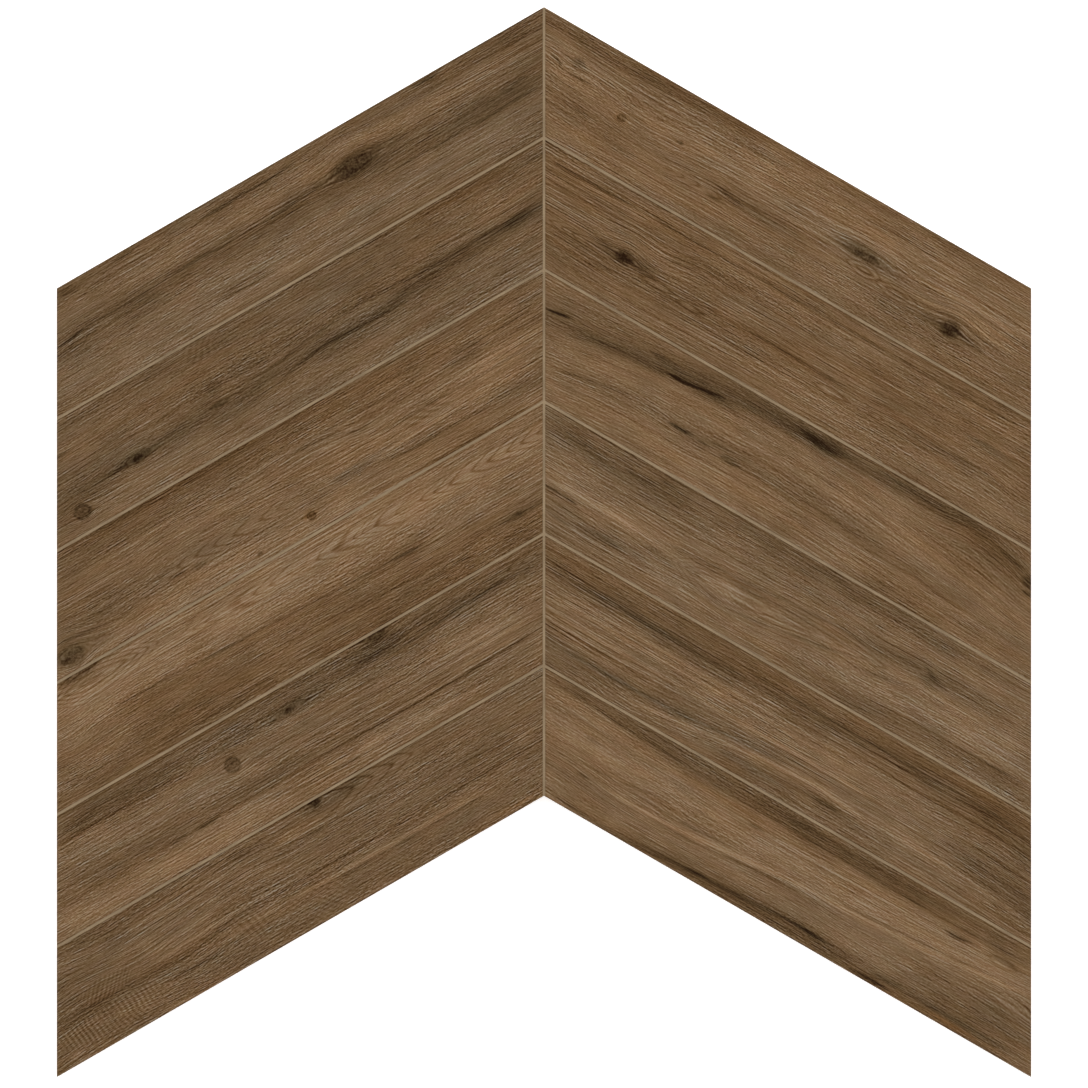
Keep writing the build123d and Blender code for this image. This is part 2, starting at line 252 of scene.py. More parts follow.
PIECES["right_3"] = Piece(91.3, 0.5, 0.82, 0, [
    Band(6, -0.4, 5, [0, 6, 50, 3, 100, 1]), Band(10, 0, 5, [165, 40.5, 235, 40.5]),
    Band(15, -0.8, 4.2, [0, 14, 20, 12.5, 45, 9.8, 70, 7.5, 95, 5, 125, 3.4]),
    Band(18, -0.4, 3.4, [100, 4.6, 130, 4, 165, 2.8, 200, 2]), Band(12, 0.4, 6, [185, 3, 205, 8, 228, 14]),
    Band(-7, 0.8, 4, [10, 22, 50, 17, 100, 15, 150, 17, 200, 22.5, 232, 27.5]),
    Band(4, -0.2, 2.4, [16, 31.5, 50, 27, 100, 25.5, 150, 27, 200, 31, 236, 34.5]),
    Band(-4, 0.6, 5, [20, 39.5, 60, 36.5, 110, 35.5, 170, 37.5, 240, 41]),
    Line(22, -0.6, 0.5, [6, 12.3, 9, 12.1, 13, 11.5, 19, 10.6]),
    Line(8, 0, 0.7, [20, 15, 40, 12, 63, 10.3, 80, 8.2, 92, 7.6]),
    Line(22, -0.4, 0.5, [59, 10.5, 64, 10.5, 72, 9.4, 78, 8.6, 86, 7.8]), Patch(14, -0.4, 57, 6.3, 6, 1),
    Patch(9, -0.4, 84, 9.7, 6, 0.9), Patch(7, -0.6, 72, 8.6, 14, 2.2), Knot(24, 64.5, 10.2, 3.2, 0.9),
    Line(14, -0.8, 1.3, [114, 3.2, 122, 4.2, 128, 5, 135, 5.2]), Patch(11, -0.2, 127, 3.8, 10, 2.4),
    Line(8, 0, 0.6, [148, 1.5, 165, 2.6, 187, 4]), Line(12, 0, 0.8, [201, 4.6, 210, 6, 221, 8.7]),
    Patch(34, -0.2, 221.5, 10, 3.6, 2.4), Patch(20, -0.4, 223, 14.5, 2.6, 1),
    Line(4, 0, 0.5, [12, 18, 40, 13.4, 90, 11, 150, 13, 200, 20, 228, 25]),
    Line(5, 0, 0.5, [12, 22, 40, 18, 90, 15, 150, 17, 200, 23.4, 232, 28]),
    Line(7, -0.4, 0.9, [18, 31.5, 30, 29, 45, 26, 56, 24.6]),
    Line(17, -0.6, 0.6, [69, 26.2, 75, 26.4, 82, 26]), Patch(9, -0.4, 76, 26.6, 8, 1.4),
    Patch(12, -0.4, 86, 26.8, 3, 0.6), Patch(19, -0.8, 98, 27.6, 4.4, 1.5),
    Line(6, 0, 0.45, [84, 25.2, 92, 24.6, 101, 24.2]), Line(7, 0, 0.5, [123, 26, 140, 27, 162, 28.4]),
    Line(7, 0, 0.5, [176, 29.8, 190, 31.5, 207, 33]), Line(7, 0, 0.5, [193, 26.6, 212, 28.4, 233, 30]),
    Patch(2, 0.6, 185, 15.6, 17, 3),
])
PIECES["right_4"] = Piece(94.4, -0.15, 1, 0.15, [
    Band(13, -0.6, 7, [0, 7, 25, 8, 70, 8]), Band(8, 0, 4.4, [0, 3, 110, 3, 150, 3.5]),
    Band(9, -0.4, 3, [90, 2.5, 150, 3, 216, 4]), Band(12, -0.6, 3.4, [150, 17, 178, 15.5, 208, 16]),
    Band(-7, -0.2, 2.6, [12, 23.5, 35, 23.8, 70, 24.5]), Band(-7, 0, 3.4, [150, 30, 200, 28.5, 236, 29]),
    Band(5, 0.6, 2, [20, 41, 90, 40, 150, 39]), Band(12, -0.2, 3, [140, 41, 180, 38, 238, 37]),
    Band(6, -0.6, 3, [16, 30, 40, 33, 66, 33]), Patch(12, -0.4, 19, 5.5, 6, 1.4),
    Patch(12, -0.4, 46, 6.5, 6, 1.4), Line(9, 0, 0.5, [52, 3.3, 56, 3.3, 61, 3.3]),
    Line(-6, 0.2, 1.1, [12, 24.4, 35, 24.2, 62, 24.4]), Line(22, -0.2, 0.6, [12, 27, 20, 27.1, 25, 27]),
    Line(17, -0.2, 0.6, [22, 27.3, 27, 27.5, 31, 27.4]), Knot(16, 64, 27.8, 4.2, 1.1),
    Patch(11, -0.6, 45, 33.7, 9, 1.5), Line(10, 0, 0.45, [20, 35.8, 26, 36, 33, 35.8]),
    Patch(-15, -0.2, 95, 27.2, 10, 3.2), Eye(14, 95, 27.4, 22, 67, 7, 4.5, -0.07),
    Line(4, -0.4, 0.6, [60, 24, 80, 22.3, 100, 21, 130, 18.6, 150, 18.6, 160, 21.4]),
    Line(4, -0.4, 0.6, [100, 33, 115, 31.5, 130, 29, 150, 25.5, 160, 22.6]),
    Line(6, 0, 0.5, [70, 24, 100, 23.2, 140, 22.4, 152, 23]),
    Line(7, -0.3, 0.8, [150, 28, 164, 26.6, 172, 25, 180, 22]),
    Line(7, -0.3, 0.8, [176, 14, 180, 15.4, 185, 17.6]), Patch(8, -0.3, 183, 18.6, 5, 3),
    Patch(-6, 0.2, 167.5, 32, 9, 1.4), Line(8, -0.4, 0.6, [203, 34.6, 220, 34.8, 237, 35.2]),
    Line(7, 0.2, 1.2, [128, 5, 160, 5, 192, 5]),
])
PIECES["right_5"] = Piece(90.1, 0.2, 1, 0.35, [
    Band(6, 1.2, 3.4, [0, 2, 100, 3, 216, 3]), Band(16, 0, 2.6, [2, 9, 40, 9.5, 84, 9.5]),
    Band(8, 0, 3, [70, 9, 140, 8, 218, 8]), Band(-5, 0.2, 5.5, [12, 19, 80, 20, 150, 20, 205, 20]),
    Band(10, -0.6, 4.5, [200, 29, 220, 30, 240, 31]), Band(8, 0, 6, [195, 7, 210, 9, 228, 12]),
    Band(-7, 0, 2.2, [50, 40, 80, 37.6, 110, 33.8, 150, 31.4, 200, 32.5]),
    Band(4, -0.8, 2.4, [20, 34, 50, 34, 80, 33, 110, 30]), Band(-4, -0.2, 3, [160, 36, 195, 36, 220, 36]),
    Line(10, 0, 0.6, [88, 6.5, 150, 6.6, 217, 6.8]), Line(3, -0.8, 1.2, [18, 10, 45, 10, 72, 10]),
    Line(-6, 0.2, 0.6, [12, 16, 80, 16.2, 150, 16]), Line(-5, 0.2, 0.6, [14, 19, 80, 19, 150, 19.2]),
    Line(-6, 0.2, 0.7, [16, 24.4, 80, 24.6, 160, 24.4]),
    Line(3, -0.8, 0.8, [24, 34.6, 50, 34.4, 75, 33.8, 100, 31.4, 126, 29.4]),
    Line(-7, 0.2, 0.7, [60, 39, 90, 35.4, 124, 32.2, 140, 31.2, 150, 32.4, 200, 33, 236, 36]),
    Line(14, 0.4, 0.9, [137, 35.8, 145, 35.6, 153, 35.5]), Patch(6, -1, 144, 35.6, 12, 2),
    Patch(2, -1.2, 112, 38, 13, 1.8),
])
PIECES["right_6"] = Piece(93.9, 0.45, 0.85, 0, [
    Band(14, -0.2, 3.6, [0, 0.5, 40, 1.6, 80, 2.6, 140, 3.2, 218, 2.6]),
    Band(14, 0, 3, [50, 41.5, 225, 41.7]), Band(13, 0.2, 2.6, [95, 3, 130, 3.4, 175, 3]),
    Band(-9, 0.5, 5, [5, 16, 80, 18, 150, 17, 220, 15]), Band(5, -0.2, 3, [20, 29, 45, 30, 75, 31]),
    Band(11, -0.2, 6, [185, 31, 215, 32, 238, 33]), Band(12, -0.2, 3, [70, 40, 110, 38.6, 155, 38]),
    Band(7, -0.2, 3.4, [140, 40, 180, 39, 215, 38]),
    Line(9, 0, 0.7, [5, 3, 40, 4.6, 80, 6, 124, 6.5, 185, 6.7, 218, 6]),
    Line(-5, 0.8, 1.8, [5, 7, 80, 9.8, 124, 10, 216, 9.8]), Line(5, 0.4, 0.9, [58, 9, 100, 9.6, 142, 9.6]),
    Patch(18, -0.4, 101.5, 12.7, 3.2, 0.9), Patch(10, -0.4, 30, 15, 3.8, 0.9),
    Patch(10, -0.4, 82, 18.3, 5, 0.7), Line(7, 0, 0.45, [44, 24.2, 55, 22.6, 68, 20.4]),
    Line(7, 0, 0.6, [29, 24.3, 55, 24.8, 80, 25, 96, 24]),
    Line(-9, 0.3, 0.9, [40, 29, 75, 28.6, 100, 26, 124, 23.8, 160, 22.3, 190, 20, 226, 16]),
    Line(8, 0, 0.7, [60, 30, 84, 29.6, 100, 28, 112, 26.8, 126, 26]),
    Line(12, -0.2, 0.5, [29.5, 28.7, 33, 28.8, 37, 28.7]),
    Line(17, -0.4, 0.6, [182, 11, 190, 10.6, 196, 9]), Eye(20, 209, 10.6, 6, 7, 1.8, 1),
    Patch(12, -0.4, 211, 9.8, 6, 1.2), Patch(15, -0.4, 191, 10.2, 7, 1.3),
    Line(7, 0, 0.5, [140, 22, 170, 20, 205, 17, 226, 15.5]), Patch(9, -0.4, 180, 23, 3, 0.7),
    Line(9, -0.2, 0.9, [24, 41.3, 62, 42, 85, 40, 110, 38.8, 124, 37.5, 152, 37.8]),
    Line(9, -0.6, 0.5, [83, 40.2, 90, 39.6, 97, 39.2]),
    Line(10, -0.6, 0.5, [118, 37.9, 132, 37.4, 149, 37.6]), Patch(28, -0.3, 167.5, 41.8, 9, 1.4),
    Line(7, -0.4, 1, [163, 38.4, 200, 38.6, 237, 38.6]), Line(-4, 1.2, 0.8, [188, 41, 213, 41.1, 236, 41]),
])

# Streaks of the print: how wide and long they are, how strongly they show, and where their seeds start
FIBRES = [(0.62, 30, 7, 200), (1.05, 60, 2.4, 220), (1.6, 110, 5, 240)]
STREAKS = [(2.3, 80, 2.2, 0), (4.8, 120, 1.8, 20), (7, 14, 3.2, 40), (10.5, 150, 1.0, 60), (14, 28, 3.4, 80)]
WARM_STREAKS = [(1.6, 20, 0.3, 400), (3.2, 11, 0.8, 420), (6, 40, 0.6, 440)]
RISE_STREAKS = [(6, 45, 0.2, 600), (2.5, 18, 0.22, 610)]
LAY_STREAKS = [(9, 60, 0.55, 620)]
WANDER = [(9, 80, 0.35, 0)]
ROW_SHIFT = 97
GRAIN_SHIFT = 7.3

# Each piece, and each mark of a piece, has seeds of its own
PIECE_SEED = 1000
MARK_SEED = 500
MARK_STEP = 10

# Thin dark veins and light ridges: where the noise of that width, length and seed is next to nothing. Partly
# print, partly painted relief shade: veins darkened as pressed-in grooves, ridges lightened as if lit.
VEINS = (1.3, 26, 310)
RIDGES = (1.7, 20, 320)
HAIR = 0.09
VEIN_DARKNESS = 2
RIDGE_LIGHTNESS = 1.5

# How the grain follows the bands and lines, and makes way for knots
GUIDE_REACH = 5.0
GUIDE_FADE = 30.0
REST_WEIGHT = 0.25
KNOT_PUSH = 0.45

# Light fine lines turn cooler and dark ones warmer, so that all have one hue. Hearts of knots are cooler.
LINE_COOLING = 0.06
DARK_LINE_WARMTH = 0.05
HEART_WARMTH = -0.4

# Depth of the relief, in millimetres: in all, or for each step of darkness
FIBRE_DEPTH = 0.03
VEIN_DEPTH = 0.05
KNOT_DEPTH = 0.1
RING_DEPTH = 0.04
WAVE_DEPTH = 0.01
LINE_PRESS = 0.004
PATCH_PRESS = 0.002
FLAME_PRESS = 0.003

# Strength of the marks next to the darkness in the lists, and what replaces the fine lines there
BAND_GAIN = 1.2
LINE_GAIN = 2.2
HALO_GAIN = 0.2
PATCH_GAIN = 1.25
FLAME_GAIN = 1.7
RING_MOTTLE = 0.8
CALM = -0.4

# Form of the marks. An edge says where a mark ends, with its outline at 1, and over how much it fades.
BAND_FADE = 40.0
LINE_FADE = 14.0
LINE_WANDER = 0.22
THIN_LINE = 1.5
HALO_WIDTH = 3.2
PATCH_SPREAD = 1.35
FLAME_BEND = 1.25
PATCH_EDGE = (1.15, 0.95)
KNOT_EDGE = (1.4, 1.1)
RING_EDGE = (1.3, 0.45)
FLAME_EDGE = (1.15, 0.4)
CALM_EDGE = (1.3, 0.5)
NEST_EDGE = (1.2, 0.6)
EYE_EDGE = (1.45, 0.3)
RIPPLE_EDGE = (1.1, 0.5)

# Half the width of even lines, out of the distance between them
NEST_LINE = 0.22
EYE_LINE = 0.3
SMALL_EYE_LINE = 0.42
RIPPLE_LINE = 0.5

# The upper rim of each piece is a little darker: painted shade, standing in for the shadow of the joint along
# it
RIM_PAINTED_SHADE = 9
RIM_V = 0.2
RIM_WIDTH = 0.5

# Constants of the hash behind all noise
HASH_MASK = 0xFFFFFFFF
HASH_TOP = 0xFFFFFF
HASH_FACTORS = (374761393, 668265263, 1442695041)
HASH_ROUNDS = [(13, 1274126177), (16, 2246822519)]
HASH_LAST_SHIFT = 15


def hashed(i, j, seed):
    """A repeatable random number from 0 to 1 for each pair of whole numbers."""
    by_i, by_j, by_seed = HASH_FACTORS
    h = (i.astype(np.int64) * by_i + j.astype(np.int64) * by_j + seed * by_seed) & HASH_MASK
    for shift, factor in HASH_ROUNDS:
        h = ((h ^ (h >> shift)) * factor) & HASH_MASK
    return ((h ^ (h >> HASH_LAST_SHIFT)) & HASH_TOP) / float(HASH_TOP)


def fade(t):
    return t * t * t * (t * (6 * t - 15) + 10)


def one_row(u, row, length, seed):
    """Noise from -1 to 1 along a row of streaks. Each row starts at a place of its own."""
    x = u / length + ROW_SHIFT * hashed(row, 0 * row, seed)
    i = np.floor(x)
    a, b = hashed(i, row, seed + 1), hashed(i + 1, row, seed + 1)
    return 2 * (a + (b - a) * fade(x - i)) - 1


def two_rows(u, g, width, length, seed):
    """The rows of streaks on both sides of each point, and how far it lies from the first to the second."""
    y = g / width
    row = np.floor(y)
    return one_row(u, row, length, seed), one_row(u, row + 1, length, seed), y - row


def streaks(u, g, width, length, seed):
    """Noise from -1 to 1 in streaks of that width and length."""
    near, far, t = two_rows(u, g, width, length, seed)
    t = fade(t)
    return near * (1 - t) + far * t


def fibre_print_and_shade(u, g, width, length, seed):
    """Fine even lines along the grain, from about -1 to 1, with no broad patches among them. Partly print,
    partly painted relief shade: darker where the face is pressed in.
    """
    near, far, t = two_rows(u, g, width, length, seed)
    return 4 * (near * t * (1 - fade(t)) + far * (t - 1) * fade(t))


def add_streaks(values, table, u, g, seed):
    """Values with all the streaks of a table on top."""
    for width, length, strength, start in table:
        values = values + strength * streaks(u, g, width, length, seed + start)
    return values


def bell(x):
    return np.exp(-x * x)


def step(x):
    t = np.clip(x, 0, 1)
    return t * t * (3 - 2 * t)


def window(x, low, high, soft):
    """1 between low and high, falling to 0 over soft at each end."""
    return step((x - low) / soft + 0.5) * step((high - x) / soft + 0.5)


def within(out, end, soft):
    """1 well inside an outline, falling to 0 at its end."""
    return step((end - out) / soft)


def along(path, u):
    """The v of a smooth line through the points of a path, at each u."""
    pu = np.array(path[::2], float)
    pv = np.array(path[1::2], float)
    slope = np.gradient(pv, pu)
    k = np.clip(np.searchsorted(pu, u) - 1, 0, len(pu) - 2)
    w = pu[k + 1] - pu[k]
    t = np.clip((u - pu[k]) / w, 0, 1)
    t2, t3 = t * t, t * t * t
    return (
        (2 * t3 - 3 * t2 + 1) * pv[k]
        + (t3 - 2 * t2 + t) * w * slope[k]
        + (3 * t2 - 2 * t3) * pv[k + 1]
        + (t3 - t2) * w * slope[k + 1]
    )


def half_size(mark):
    """Half the length and half the width of a knot or ring."""
    if type(mark) is Ring:
        return mark.radius, mark.radius
    return mark.half_length, mark.half_width


def grain_line(u, v, marks, seed):
    """The number of the grain line through each point: the v that it has where nothing bends it."""
    shift = np.zeros_like(u)
    total = np.full_like(u, REST_WEIGHT)
    for mark in marks:
        if type(mark) in (Band, Line):
            middle = along(mark.path, u)
            near = bell((v - middle) / (GUIDE_REACH + mark.half_width))
            near = near * window(u, mark.path[0], mark.path[-2], GUIDE_FADE)
            shift += near * (middle - np.mean(mark.path[1::2]))
            total += near
    shift = shift / total
    for mark in marks:
        if type(mark) in (Knot, Ring):
            half_length, half_width = half_size(mark)
            across = v - mark.v
            side = across / np.sqrt(across**2 + (0.6 * half_width) ** 2)
            push = KNOT_PUSH * half_width * bell(across / (2 * half_width + 0.6))
            shift += side * push * bell((u - mark.u) / (1.5 * half_length + 1))
    return add_streaks(v - shift, WANDER, u, v, seed)


def lens(u, v, mark, half_length, half_width):
    """How far out a point lies in a shape with pointed ends: 0 in the middle, 1 on the outline."""
    across = np.sqrt(((v - mark.v) / half_width) ** 2 + 0.01)
    return across + ((u - mark.u) / half_length) ** 2


def draw(mark, u, v, g, seed):
    """What a mark does at each point: how much it darkens, warms, presses in and mottles."""
    ragged = streaks(u, g, 0.9, 8, seed)
    patchy = streaks(u, g, 2.2, 24, seed + 1)
    plain = 0 * u
    kind = type(mark)
    press = max(mark.dark, 0)
    if kind in (Band, Line):
        start, end = mark.path[0], mark.path[-2]
        middle = along(mark.path, u)
    if kind is Band:
        soft = min(BAND_FADE, 0.6 * (end - start))
        shape = bell((v - middle) / mark.half_width) * window(u, start, end, soft) * (0.95 + 0.2 * patchy)
        return BAND_GAIN * mark.dark * shape, mark.warm * shape, plain, plain
    if kind is Line:
        middle = middle + LINE_WANDER * streaks(u, 0 * u, 1, 7, seed + 2)
        soft = min(LINE_FADE, 0.45 * (end - start))
        ends = window(u, start + soft / 3, end - soft / 3, soft)
        width = mark.half_width * (0.55 + 0.45 * ends)
        shape = bell((v - middle) / width) * ends
        if mark.half_width < THIN_LINE:
            halo = bell((v - middle) / (HALO_WIDTH * width)) * ends
            breaks = 0.85 + 0.3 * streaks(u, 0 * u + 3, 1, 11, seed + 3)
            shape = LINE_GAIN * shape * breaks + HALO_GAIN * halo
        else:
            shape = shape * (0.95 + 0.3 * patchy)
        return mark.dark * shape, mark.warm * shape, LINE_PRESS * press * shape, plain
    if kind is Patch:
        half_length, half_width = PATCH_SPREAD * mark.half_length, PATCH_SPREAD * mark.half_width
        out = lens(u, v + 0.12 * mark.half_width * ragged, mark, half_length, half_width)
        shape = PATCH_GAIN * within(out, *PATCH_EDGE) * (0.9 + 0.4 * ragged)
        return mark.dark * shape, mark.warm * shape, PATCH_PRESS * press * shape, plain
    if kind is Knot:
        round_out = np.sqrt(((u - mark.u) / mark.half_length) ** 2 + ((v - mark.v) / mark.half_width) ** 2)
        pointed_out = lens(u, v, mark, mark.half_length, mark.half_width)
        out = 0.75 * round_out + 0.25 * pointed_out + 0.2 * ragged
        core = within(out, *KNOT_EDGE)
        tails = bell((v - mark.v) / (0.3 * mark.half_width + 0.25))
        tails = tails * bell((u - mark.u) / (1.9 * mark.half_length))
        lumps = streaks(u, v, 0.9, 1.8, seed + 4)
        heart = core * (1 + 0.22 * lumps) + 0.3 * tails * (1 - core)
        return mark.dark * heart, HEART_WARMTH * core, KNOT_DEPTH * core, core
    if kind is Ring:
        out = np.hypot((u - mark.u) / 1.12, v - mark.v) / mark.radius + 0.1 * ragged
        out = out + 0.11 * streaks(u, v, 1.3, 1.7, seed + 4)
        shape = within(out, *RING_EDGE)
        rings = 0.45 + 0.55 * np.cos(2 * np.pi * out * 2.1)
        outline = bell((out - 1) / 0.18)
        dark = shape * (0.3 * rings + 0.46) + 0.3 * outline * (1 + ragged) + 0.3 * bell(out / 0.22)
        return mark.dark * dark, HEART_WARMTH * shape, RING_DEPTH * outline, RING_MOTTLE * shape
    if kind is Flame:
        across = np.sqrt((v - mark.v) ** 2 + 0.02) / mark.half_height
        bend = mark.tip + mark.reach * across**FLAME_BEND + 0.5 * ragged
        slope = FLAME_BEND * mark.reach / mark.half_height * across ** (FLAME_BEND - 1)
        shape = FLAME_GAIN * bell((u - bend) / np.sqrt(1 + slope**2) / 0.5) * within(across, *FLAME_EDGE)
        calm = bell((u - bend) / 5) * within(across, *CALM_EDGE)
        return mark.dark * shape, plain, FLAME_PRESS * press * shape, CALM * calm
    strength = waves(mark, u, v, seed)[1] / mark.dark
    return plain, plain, WAVE_DEPTH * strength, CALM * strength


def waves(mark, u, v, seed):
    """Even lines side by side: how many of them a point lies along, how dark they are and how wide."""
    if type(mark) is Nest:
        across = np.sqrt((v - mark.v) ** 2 + 0.1) / mark.half_height
        tip = u - mark.reach * across**1.3
        phase = tip / mark.pitch + 0.45 * streaks(tip, 0 * u, 1, 1.6 * mark.pitch, seed)
        phase = phase + 0.12 * streaks(u, v, 1.6, 9, seed + 1)
        strength = within(across, *NEST_EDGE) * window(tip, mark.start, mark.end, 1.5 * mark.pitch)
        return phase, mark.dark * strength, NEST_LINE
    if type(mark) is Eye:
        far = np.where(u < mark.u, mark.back, mark.ahead)
        middle = mark.v + mark.lean * np.maximum(u - mark.u, 0)
        out = np.sqrt(((v - middle) / mark.half_width) ** 2 + 0.004) + np.abs((u - mark.u) / far) ** 1.8
        phase = 0.5 + (mark.rings - 0.5) * out + 0.1 * streaks(u, v, 1.6, 9, seed + 1)
        large = mark.rings > 2
        phase += 0.2 * streaks(out, 0 * u, 1, 0.3, seed) * large
        return phase, mark.dark * within(out, *EYE_EDGE), EYE_LINE if large else SMALL_EYE_LINE
    out = np.hypot((u - mark.u) / mark.half_length, (v - mark.v) / mark.half_width)
    phase = (u + mark.lean * (v - mark.v)) / mark.pitch + 0.45 * streaks(u, v, 4, 11, seed)
    strength = within(out, *RIPPLE_EDGE) * (0.75 + 0.4 * streaks(u, v, 3, 12, seed + 1))
    return phase, mark.dark * strength, RIPPLE_LINE


def figure(piece, u, v, seed):
    """The wood figure: grain line, lightness, warmth, depth, mottling, even lines and fine lines."""
    g = grain_line(u, v, piece.marks, seed)
    rise = piece.rough * add_streaks(1, RISE_STREAKS, u, g, seed)
    lay = add_streaks(piece.lay, LAY_STREAKS, u, g, seed)
    long_lines, short_lines = rise * np.exp(0.5 * lay), rise * np.exp(-0.5 * lay)
    depth = np.zeros_like(u)
    mottle = np.zeros_like(u)
    lines = np.zeros_like(u)
    phase, strongest, line_width = np.zeros_like(u), np.zeros_like(u), np.full_like(u, 0.5)
    # The fine lines are partly print, partly painted relief shade: darker where the face is pressed in,
    # lighter on the ridges
    for width, length, strength, start in FIBRES:
        layer = fibre_print_and_shade(u, g, width, length, seed + start)
        lines += long_lines * strength * layer
        depth += FIBRE_DEPTH * (1 - layer)
    veins, ridges = (
        bell(streaks(u, g, width, length, seed + start) / HAIR) for width, length, start in (VEINS, RIDGES)
    )
    lines += long_lines * (RIDGE_LIGHTNESS * ridges - VEIN_DARKNESS * veins)
    tone = add_streaks(0 * u, STREAKS, u, g, seed) + lines
    warm = piece.warm - (LINE_COOLING * lines + DARK_LINE_WARMTH * np.minimum(lines, 0))
    warm = add_streaks(warm, WARM_STREAKS, u, g, seed)
    depth += VEIN_DEPTH * veins
    for n, mark in enumerate(piece.marks):
        mark_seed = seed + MARK_SEED + MARK_STEP * n
        dark, warmth, press, blotch = draw(mark, u, v, g, mark_seed)
        tone -= dark
        warm += warmth
        depth += press
        mottle = np.where(np.abs(blotch) > np.abs(mottle), blotch, mottle)
        if type(mark) in (Nest, Eye, Ripple):
            count, dark, width = waves(mark, u, v, mark_seed)
            leads = dark > strongest
            phase, strongest = np.where(leads, count, phase), np.where(leads, dark, strongest)
            line_width = np.where(leads, width, line_width)
    return g, tone, warm, depth, mottle, (phase, strongest, line_width), (long_lines, short_lines, 0 * u)


def spread(count, length, tight, crowd=()):
    """Places from 0 to length, a few close together at each end, the rest closer round a crowd's places."""
    ends = np.array([0, 0.33, 0.67, 1]) * tight
    sample = np.linspace(tight, length - tight, DENSITY_SAMPLES)
    density = np.ones_like(sample)
    for at, reach in crowd:
        density += CROWDING * bell((sample - at) / reach)
    passed = np.concatenate([[0], np.cumsum(density[1:] + density[:-1])])
    middle = np.interp(np.linspace(0, passed[-1], count), passed, sample)
    return np.concatenate([ends[:-1], middle, (length - ends[:-1])[::-1]])


def back_profile():
    """Corners of the back across a piece, as (v, z)."""
    groove = (WIDTH - 2 * BACK_EDGE_WIDTH - (BACK_GROOVES - 1) * BACK_RIB_WIDTH) / BACK_GROOVES
    points = [(0, BACK_Z)]
    for k in range(BACK_GROOVES):
        start = BACK_EDGE_WIDTH + k * (groove + BACK_RIB_WIDTH)
        top = BACK_Z + BACK_GROOVE_DEPTH
        points += [(start, BACK_Z), (start, top), (start + groove, top), (start + groove, BACK_Z)]
    return points + [(WIDTH, BACK_Z)]


def place(side, top_y, s, v, z):
    """Points in the frame, in metres, for places s along a piece and v across it."""
    x = side * (INNER_X + s * cos(ANGLE))
    y = top_y - s * sin(ANGLE) - v * RISE
    return np.stack([x, y, z + 0 * x], axis=-1).reshape(-1, 3) * MM


def new_object(name, data):
    obj = bpy.data.objects.new(name, data)
    bpy.context.scene.collection.objects.link(obj)
    return obj


